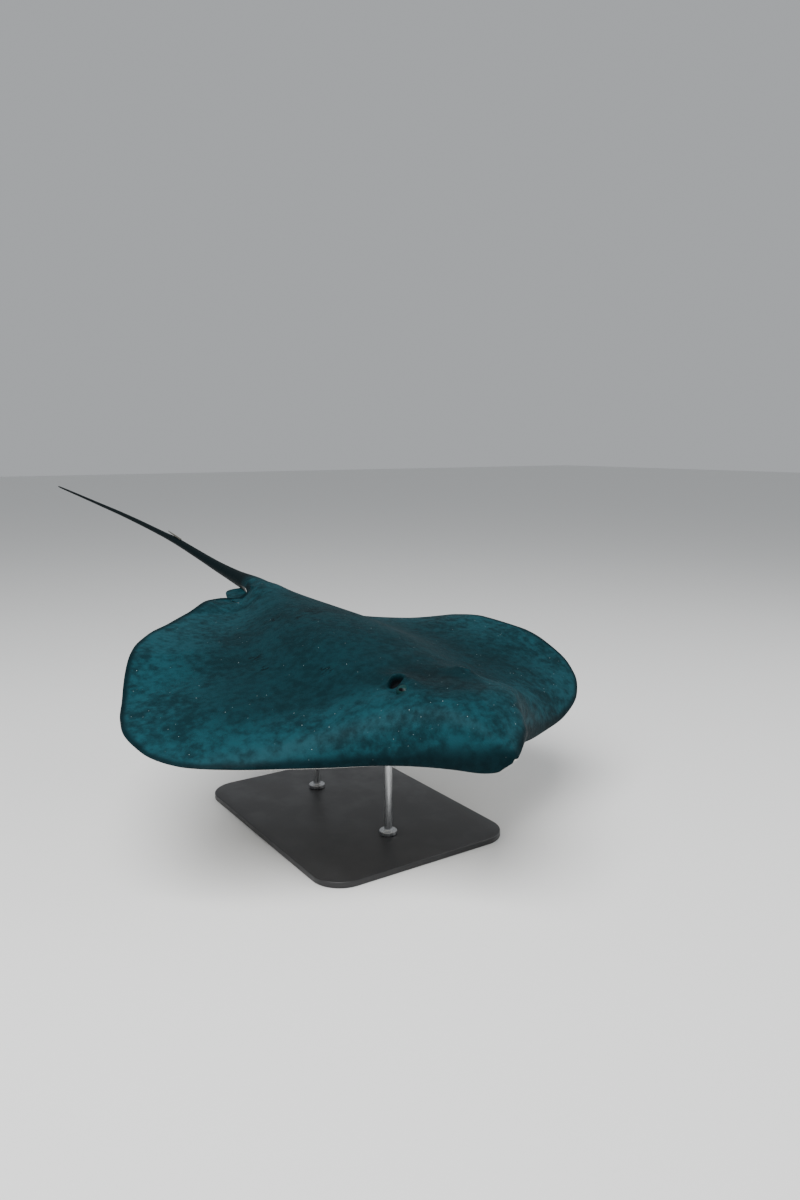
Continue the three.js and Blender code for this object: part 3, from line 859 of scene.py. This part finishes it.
class WhipraySkinLook(PropertyGroup):
    back_colour: a_colour("Back", "Main colour of the back", (0.0036, 0.0230, 0.0290))
    # Lighter toward the rims, partly painted light for the lit slopes of the wings
    lit_wing_colour: a_colour("Wings", "Main colour of the tops of the wings", (0.0076, 0.0455, 0.0575))
    back_dark_colour: a_colour("Back, dark", "Colour of the mottling", (0.0022, 0.0115, 0.0145))
    fleck_colour: a_colour("Flecks", "Colour of the tiny pale flecks", (0.30, 0.38, 0.38))
    # Also colours the painted shadow on the head
    scuff_and_shadow_colour: a_colour("Scuffs", "Colour of the rubbed dark patches", (0.0012, 0.0040, 0.0050))
    # The dark line along the rims is painted shade
    rim_shade_colour: a_colour("Rim", "Colour of the dark line along the rims", (0.0012, 0.0060, 0.0080))
    tail_colour: a_colour("Tail", "Colour of the tail", (0.0015, 0.0055, 0.0068))
    belly_colour: a_colour("Belly", "Main colour of the underside", (0.62, 0.60, 0.56))
    belly_shade: a_colour("Belly, shaded", "Colour of its faint patches", (0.46, 0.42, 0.39))
    margin_colour: a_colour("Margin", "Colour of the dusky band below", (0.10, 0.105, 0.105))
    # The dark colour in the hollows is painted shade
    hollow_shade_colour: a_colour("Hollows", "Colour in the spiracles and gills", (0.004, 0.005, 0.006))
    mottling: a_number("Mottling", "Strength of the mottling", 0.8, 0, 1, subtype="FACTOR")
    roughness: a_number("Roughness", "How matt the skin is", 0.52, 0.12, 0.9, subtype="FACTOR")


class WhiprayEyeLook(PropertyGroup):
    radius: a_number("Radius", "Radius of an eyeball", 0.0145, 0.010, 0.016, **LENGTH)
    iris_colour: a_colour("Iris", "Main colour of the iris", (0.008, 0.036, 0.036))
    iris_dark_colour: a_colour("Iris, dark", "Colour of the iris's threads", (0.005, 0.020, 0.021))
    ball_colour: a_colour("Eyeball", "Colour round the iris", (0.010, 0.014, 0.016))
    pupil_colour: a_colour("Pupil", "Colour of the pupil", (0.002, 0.002, 0.003))


class WhiprayStingLook(PropertyGroup):
    length: a_number("Length", "Length of the sting", 0.098, 0.08, 0.14, **LENGTH)
    bone_colour: a_colour("Bone", "Main colour of the sting", (0.085, 0.080, 0.062))
    bone_dark_colour: a_colour("Bone, dark", "Colour of the sting's grain", (0.045, 0.042, 0.034))
    bone_stain_colour: a_colour("Sheath", "Colour of its dark sheath", (0.010, 0.013, 0.014))


class WhiprayStandLook(PropertyGroup):
    edge: a_number("Plate edge", "Rounding of the plate's edges", 0.002, 0.0005, 0.005, **LENGTH)
    liner: a_number("Liner", "Thickness of the felt on the rods", 0.0025, 0.001, 0.005, **LENGTH)
    plate_colour: a_colour("Plate", "Colour of the plate's paint", (0.012, 0.012, 0.013))
    dust_colour: a_colour("Dust", "Colour of the faint dust on the plate", (0.12, 0.12, 0.12))
    rod_colour: a_colour("Rods", "Colour of the rods' steel", (0.56, 0.57, 0.58))
    rod_dark_colour: a_colour("Rods, dark", "Colour of the brushed lines", (0.40, 0.41, 0.42))
    liner_colour: a_colour("Felt", "Colour of the felt", (0.03, 0.03, 0.03))


class WhiprayStageLook(PropertyGroup):
    floor_colour: a_colour("Floor", "Colour of the floor", (0.80, 0.80, 0.79))
    key: a_number("Key light", "Strength of the main soft light", 225, 0, 5000, unit="POWER")
    fill: a_number("Fill light", "Strength of the second soft light", 36, 0, 5000, unit="POWER")
    lens: a_number("Lens", "Focal length", 26.97, 10, 200, unit="CAMERA")


# ---- Operators ----

# Outlines of the turned stand pieces, as radius and height in mm: the rod from the plate's top to
# its cradle, and the cradle and its felt from the belly
ROD_FOOT = ((0, 0), (16.5, 0), (17.5, 1), (17.5, 7), (16.5, 8), (9.5, 8), (8.1, 9.5))
ROD_CRADLE = (
    (8.1, -16), (9.5, -12.5), (15.5, -7), (20.5, -3), (21.2, -1), (21.2, 1), (0, 1),
)
FELT = ((0, -4), (19.6, -4), (20.4, -3.5), (20.4, 1), (19.8, 1.5), (12, 1.5), (0, 1.5))
LINER_SINK = 0.0003  # how far the felt is pressed into its cradle
PLATE_CORNER = 0.06
PLATE_LOWER_EDGE = 0.0008


def raised(outline, height):
    return [(radius * MM, height + level * MM) for radius, level in outline]


class WHIPRAY_OT_skin(Operator):
    """Makes the one skin of the body, fins and tail"""

    bl_idname = "whipray.skin"
    bl_label = "Add the skin"

    def execute(self, context):
        points, faces, facts = skin_mesh()
        skin = mesh_piece("ray_skin", to_row(points), faces)
        known = [(to_row(points), facts)]
        for side in (1, -1):
            points, faces, facts = pelvic_mesh(side)
            fin = mesh_piece("pelvic_fin_skin", to_row(points), faces)
            known.append((to_row(points), facts))
            joined = skin.modifiers.new("Pelvic fin", "BOOLEAN")
            joined.operation = "UNION"
            joined.solver = "MANIFOLD"
            joined.object = fin
            apply_all(skin)
            bpy.data.objects.remove(fin)
        self.carry_facts(skin, known)
        finish_piece(skin, skin_material(context.scene.whipray_skin), FLESH_NODES)
        return {"FINISHED"}

    def carry_facts(self, skin, known):
        """Gives each point of the joined skin the facts of the nearest point it was made from."""
        from_points = np.concatenate([points for points, _ in known])
        tree = KDTree(len(from_points))
        for i, point in enumerate(from_points):
            tree.insert(point, i)
        tree.balance()
        nearest = np.array([tree.find(v.co)[1] for v in skin.data.vertices])
        for name in FACTS:
            values = np.concatenate([facts[name] for _, facts in known])[nearest]
            layer = skin.data.attributes.new(name, "FLOAT", "POINT")
            layer.data.foreach_set("value", values.astype(np.float32))
        skin.data.shade_smooth()


class WHIPRAY_OT_eyes(Operator):
    """Makes the two eyes"""

    bl_idname = "whipray.eyes"
    bl_label = "Add the eyes"

    def execute(self, context):
        look = context.scene.whipray_eyes
        material = eye_material(look)
        lengthen = Matrix.Scale(EYE["stretch"], 4, RAY.to_3x3() @ Vector((0, 1, 0)))
        for name, side in (("left", 1), ("right", -1)):
            centre = on_ray(side * EYE["x"], EYE["s"], EYE["height"])
            gaze = RAY.to_3x3() @ Vector((side * 0.80, -0.22, 0.56))
            turn = gaze.to_track_quat("Z", "Y").to_matrix().to_4x4()
            sphere = {"segments": 48, "ring_count": 32, "radius": look.radius}
            eye = add_primitive(f"ray_eye_{name}", bpy.ops.mesh.primitive_uv_sphere_add, **sphere)
            self.shape(eye, look.radius)
            eye.matrix_world = Matrix.Translation(centre) @ lengthen @ turn
            apply_all(eye)
            bpy.ops.object.shade_smooth()
            finish_piece(eye, material, [f"eye_{name}"])
        return {"FINISHED"}

    def shape(self, eye, radius):
        """Raises the clear front of the eye a little, and maps the eye from its pupil outwards."""
        points = points_of(eye)
        height = points[:, 2] / radius
        out = np.hypot(points[:, 0], points[:, 1]) / radius
        dome = 0.05 * np.exp(-((out / 0.5) ** 4)) * (height > 0)
        move_points(eye, points * (0.98 + dome)[:, None])
        layer = eye.data.uv_layers.active or eye.data.uv_layers.new()
        layer.name = "EyeMap"
        corner = np.empty(len(eye.data.loops), int)
        eye.data.loops.foreach_get("vertex_index", corner)
        stretch = np.where(height > 0, out, 2 - out) / np.maximum(out * radius, 1e-9)
        around = stretch[:, None] * points[:, :2]
        layer.data.foreach_set("uv", (0.5 + 0.5 * around[corner] * 0.98).ravel())


class WHIPRAY_OT_sting(Operator):
    """Makes the toothed sting on top of the tail"""

    bl_idname = "whipray.sting"
    bl_label = "Add the sting"

    def execute(self, context):
        look = context.scene.whipray_sting
        grid = {"x_subdivisions": 12, "y_subdivisions": 96, "size": 2}
        sting = add_primitive("ray_sting", bpy.ops.mesh.primitive_grid_add, **grid)
        points = points_of(sting)
        across, t = points[:, 0], (points[:, 1] + 1) / 2
        out = np.abs(across)
        along = t * look.length / MM
        start = BODY_LENGTH + TAIL_LENGTH * STING["at"]
        middle = tail_place(start + along, np.zeros(len(t)), np.zeros(len(t)))
        toothed = smooth_step(0.25, 0.32, t) * (1 - smooth_step(0.93, 1, t))
        tooth = STING["tooth"] * ((t * STING["teeth"]) % 1) ** 1.5 * toothed
        half = STING["width"] * np.sqrt(1 - 0.97 * t) + tooth * (1 - 0.6 * t) * out ** 3
        deep = STING["width"] * (1 - 0.75 * t)
        ridge = 1 - 0.45 * out ** 1.5 - 0.16 * bell((out - 0.45) / 0.16)
        tail_top = float(core_height(start)) + float(tail_half_height(STING["at"])) + STING["clear"]
        height = tail_top + STING["rise"] * along + deep * ridge
        points = np.stack([middle[:, 0] + across * half, middle[:, 1], height], axis=-1)
        move_points(sting, to_row(points))
        solid = sting.modifiers.new("Thickness", "SOLIDIFY")
        solid.thickness = STING["wall"] * MM
        solid.offset = -1
        apply_all(sting)
        bpy.ops.object.shade_smooth_by_angle(angle=math.radians(40))
        finish_piece(sting, sting_material(look), ["sting"])
        return {"FINISHED"}


class WHIPRAY_OT_stand_base(Operator):
    """Makes the stand's flat plate"""

    bl_idname = "whipray.stand_base"
    bl_label = "Add the stand's plate"

    def execute(self, context):
        look = context.scene.whipray_stand
        low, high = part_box("stand_base")
        block = {"size": 1, "location": (low + high) / 2, "scale": high - low}
        plate = add_primitive("stand_plate", bpy.ops.mesh.primitive_cube_add, **block)
        apply_all(plate)
        self.bevel_edges(plate, lambda a, b: abs(a.z - b.z) > 0.005, PLATE_CORNER, 16)
        self.bevel_edges(plate, lambda a, b: min(a.z, b.z) > high.z - 1e-4, look.edge, 4)
        self.bevel_edges(plate, lambda a, b: max(a.z, b.z) < low.z + 1e-4, PLATE_LOWER_EDGE, 2)
        bpy.ops.object.shade_smooth_by_angle(angle=math.radians(35))
        finish_piece(plate, plate_material(look), ["stand_base"])
        return {"FINISHED"}

    def bevel_edges(self, piece, wanted, width, segments):
        select_only(piece)
        bpy.ops.object.mode_set(mode="EDIT")
        bpy.ops.mesh.select_mode(type="EDGE")
        bpy.ops.mesh.select_all(action="DESELECT")
        form = bmesh.from_edit_mesh(piece.data)
        for edge in form.edges:
            ends = [v.co for v in edge.verts]
            sharp = len(edge.link_faces) == 2 and edge.calc_face_angle() > 0.5
            edge.select_set(sharp and wanted(*ends))
        bmesh.update_edit_mesh(piece.data)
        bpy.ops.mesh.bevel(offset=width, offset_type="OFFSET", segments=segments, affect="EDGES")
        bpy.ops.object.mode_set(mode="OBJECT")


class WHIPRAY_OT_stand_rods(Operator):
    """Makes the two rods, each with a collar, a flared cradle and its felt"""

    bl_idname = "whipray.stand_rods"
    bl_label = "Add the stand's rods"

    def execute(self, context):
        look = context.scene.whipray_stand
        skin = bpy.data.objects.get("ray_skin")
        if skin is None:
            raise RuntimeError("the rods are fitted to the skin, so the skin is added first")
        form = bmesh.new()
        form.from_mesh(skin.data)
        belly = BVHTree.FromBMesh(form)
        form.free()
        steel, felt = steel_material(look), liner_material(look)
        for name in ("front", "rear"):
            node = f"stand_rod_{name}"
            low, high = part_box(node)
            middle = (low + high) / 2
            top = self.belly_over(belly, middle)
            outline = raised(ROD_FOOT, low.z) + raised(ROD_CRADLE, top)
            rod = self.turned(node + "_steel", middle, outline)
            # The cradle and the felt's lower side follow the belly below the felt's top
            self.fit_under(rod, belly, top - 0.0017, look.liner + LINER_SINK)
            finish_piece(rod, steel, [node])
            pad = self.turned(node + "_felt", middle, raised(FELT, top))
            self.fit_under(pad, belly, top - 0.0002, 0.0002)
            self.fit_under(pad, belly, top - 0.1, look.liner + LINER_SINK, top - 0.0025)
            finish_piece(pad, felt, [])
        return {"FINISHED"}

    def belly_over(self, belly, place):
        """Height of the belly straight above a place on the plate."""
        return belly.ray_cast(Vector((place[0], place[1], 0.05)), Vector((0, 0, 1)))[0].z

    def turned(self, name, middle, outline):
        """A round piece spun from its outline, given as radius and height."""
        mesh = bpy.data.meshes.new(name)
        piece = new_object(name, mesh)
        edges = [(i, i + 1) for i in range(len(outline) - 1)]
        mesh.from_pydata([(radius, 0, height) for radius, height in outline], edges, [])
        select_only(piece)
        bpy.ops.object.mode_set(mode="EDIT")
        bpy.ops.mesh.select_all(action="SELECT")
        bpy.ops.mesh.spin(steps=48, angle=2 * math.pi, center=(0, 0, 0), axis=(0, 0, 1))
        bpy.ops.mesh.select_all(action="SELECT")
        bpy.ops.mesh.remove_doubles(threshold=0.00001)
        bpy.ops.mesh.normals_make_consistent(inside=False)
        bpy.ops.object.mode_set(mode="OBJECT")
        piece.location = (middle.x, middle.y, 0)
        apply_all(piece)
        bpy.ops.object.shade_smooth_by_angle(angle=math.radians(30))
        return piece

    def fit_under(self, piece, belly, above, gap, below=10.0):
        """Lays the piece's points between two heights along the belly, that far below it."""
        points = points_of(piece)
        for point in points:
            if above <= point[2] <= below:
                point[2] = self.belly_over(belly, point) - gap
        move_points(piece, points)


CAMERA = {"place": (-0.918, -1.558, 0.781), "tilt": 79.96, "turn": -33.85}
SKY = {"Color": (0.86, 0.89, 0.92, 1), "Strength": 0.5}
LIT_PLACE = Vector((0, 0.1, 0.3))  # what both lights point at


class WHIPRAY_OT_stage(Operator):
    """Makes the floor, the lights and the camera"""

    bl_idname = "whipray.stage"
    bl_label = "Add the stage"

    def execute(self, context):
        look = context.scene.whipray_stage
        grid = {"x_subdivisions": 4, "y_subdivisions": 4, "size": 40, "location": (0, 0, -0.0005)}
        floor = add_primitive("studio_floor", bpy.ops.mesh.primitive_grid_add, **grid)
        apply_all(floor)
        floor.data.materials.append(floor_material(look))
        floor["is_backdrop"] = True
        self.light("key", (-1.6, -1.2, 3.2), 2.6, look.key)
        self.light("fill", (2.4, -1.6, 1.9), 2.2, look.fill)
        world = context.scene.world or bpy.data.worlds.new("Studio")
        context.scene.world = world
        world.use_nodes = True
        Nodes(world).finish("Background", SKY)
        lens = bpy.data.cameras.new("camera")
        lens.lens = look.lens
        lens.sensor_width = 36
        lens.sensor_fit = "AUTO"
        camera = new_object("camera", lens)
        camera.location = CAMERA["place"]
        camera.rotation_euler = (math.radians(CAMERA["tilt"]), 0, math.radians(CAMERA["turn"]))
        context.scene.camera = camera
        return {"FINISHED"}

    def light(self, name, location, size, power):
        lamp = bpy.data.lights.new(name, "AREA")
        lamp.energy = power
        lamp.size = size
        holder = new_object(name, lamp)
        holder.location = location
        aim = LIT_PLACE - holder.location
        holder.rotation_euler = aim.to_track_quat("-Z", "Y").to_euler()


PIECES = (
    WHIPRAY_OT_skin, WHIPRAY_OT_eyes, WHIPRAY_OT_sting, WHIPRAY_OT_stand_base,
    WHIPRAY_OT_stand_rods, WHIPRAY_OT_stage,
)


class WHIPRAY_PT_panel(Panel):
    """Lists the steps that dress the whipray"""

    bl_idname = "WHIPRAY_PT_panel"
    bl_label = "Whipray"
    bl_space_type = "VIEW_3D"
    bl_region_type = "UI"
    bl_category = "Whipray"

    def draw(self, context):
        for piece in PIECES:
            self.layout.operator(piece.bl_idname)
        for name in LOOKS:
            box = self.layout.box()
            look = getattr(context.scene, name)
            for setting in look.bl_rna.properties:
                if setting.identifier not in ("rna_type", "name"):
                    box.prop(look, setting.identifier)


LOOKS = {
    "whipray_skin": WhipraySkinLook,
    "whipray_eyes": WhiprayEyeLook,
    "whipray_sting": WhiprayStingLook,
    "whipray_stand": WhiprayStandLook,
    "whipray_stage": WhiprayStageLook,
}


CLASSES = (*LOOKS.values(), *PIECES, WHIPRAY_PT_panel)


def register():
    for kind in CLASSES:
        bpy.utils.register_class(kind)
    for name, kind in LOOKS.items():
        setattr(bpy.types.Scene, name, bpy.props.PointerProperty(type=kind))


def unregister():
    for name in LOOKS:
        delattr(bpy.types.Scene, name)
    for kind in reversed(CLASSES):
        bpy.utils.unregister_class(kind)


def main():
    register()
    for piece in PIECES:
        area, name = piece.bl_idname.split(".")
        getattr(getattr(bpy.ops, area), name)()
    sizes = {"cad": cad_bounds, "visual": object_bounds()}
    sizes = {name: [list(corner) for corner in corners] for name, corners in sizes.items()}


if __name__ == "__main__":
    main()
